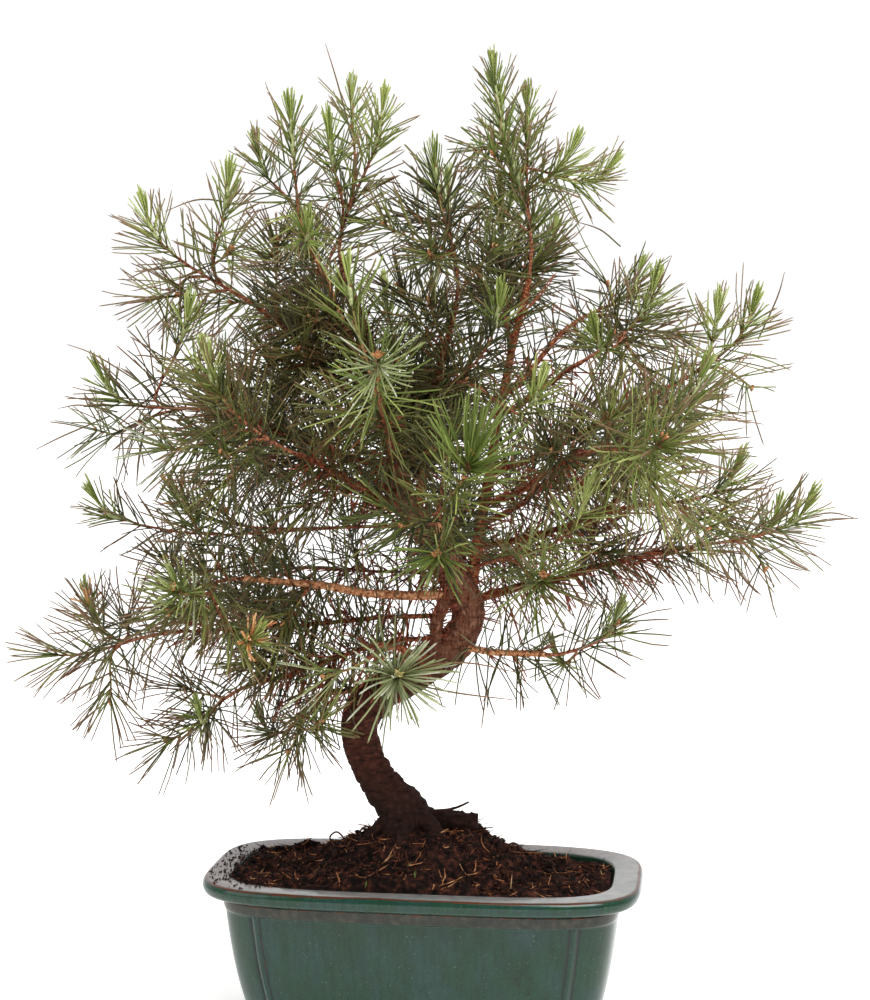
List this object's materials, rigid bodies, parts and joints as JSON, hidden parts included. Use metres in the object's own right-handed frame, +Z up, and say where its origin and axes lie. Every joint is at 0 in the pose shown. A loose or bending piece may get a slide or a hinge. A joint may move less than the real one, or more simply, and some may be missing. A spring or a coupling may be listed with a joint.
{
  "type": "aleppo pine bonsai",
  "caption": "Potted bonsai pine with an S-bent trunk on a mound of soil, forked limbs and open tufts of long needles, in an oblong glazed pot with a lip.",
  "frame": {"origin": "middle of the pot's footprint, on the surface that it stands on", "axes": "+X along the pot's long side, to the right seen from the front; +Y to the back; +Z up"},
  "size_m": [0.4869, 0.3704, 0.5692],
  "materials": {
    "green_glaze": "glossy green glaze, thin and brown on its edges",
    "peat": "rough and damp",
    "pine_bark": "rough and flaky",
    "pine_needles": "satin green needles"
  },
  "bodies": {
    "root": {"pot": "green_glaze", "soil": "peat", "trunk": "pine_bark", "right_leader": "pine_bark", "middle_limb": "pine_bark", "crest_left_bough": "pine_bark", "upper_left_bough": "pine_bark", "left_high_bough": "pine_bark", "left_front_bough": "pine_bark", "left_low_bough": "pine_bark", "left_far_low_bough": "pine_bark", "left_foot_bough": "pine_bark", "left_inner_foot_bough": "pine_bark", "front_low_bough": "pine_bark", "front_middle_bough": "pine_bark", "front_high_bough": "pine_bark", "upper_right_bough": "pine_bark", "right_front_bough": "pine_bark", "right_far_high_bough": "pine_bark", "right_middle_bough": "pine_bark", "right_far_low_bough": "pine_bark", "right_low_bough": "pine_bark", "back_left_high_bough": "pine_bark", "back_left_middle_bough": "pine_bark", "back_left_low_bough": "pine_bark", "back_right_high_bough": "pine_bark", "back_right_middle_bough": "pine_bark", "apex": "pine_needles", "crest": "pine_needles", "crest_left": "pine_needles", "crest_middle": "pine_needles", "upper_left": "pine_needles", "left_high": "pine_needles", "left_front": "pine_needles", "left_middle": "pine_needles", "left_low": "pine_needles", "left_far_low": "pine_needles", "left_foot": "pine_needles", "left_inner_foot": "pine_needles", "front_low": "pine_needles", "front_middle": "pine_needles", "front_right_low": "pine_needles", "front_high": "pine_needles", "middle_right_high": "pine_needles", "upper_right": "pine_needles", "right_front": "pine_needles", "right_far_high": "pine_needles", "right_middle": "pine_needles", "right_far_low": "pine_needles", "right_low": "pine_needles", "back_top": "pine_needles", "back_left_high": "pine_needles", "back_left_middle": "pine_needles", "back_left_low": "pine_needles", "back_middle": "pine_needles", "back_right_high": "pine_needles", "back_right_middle": "pine_needles", "back_low": "pine_needles"}
  },
  "joints": []
}
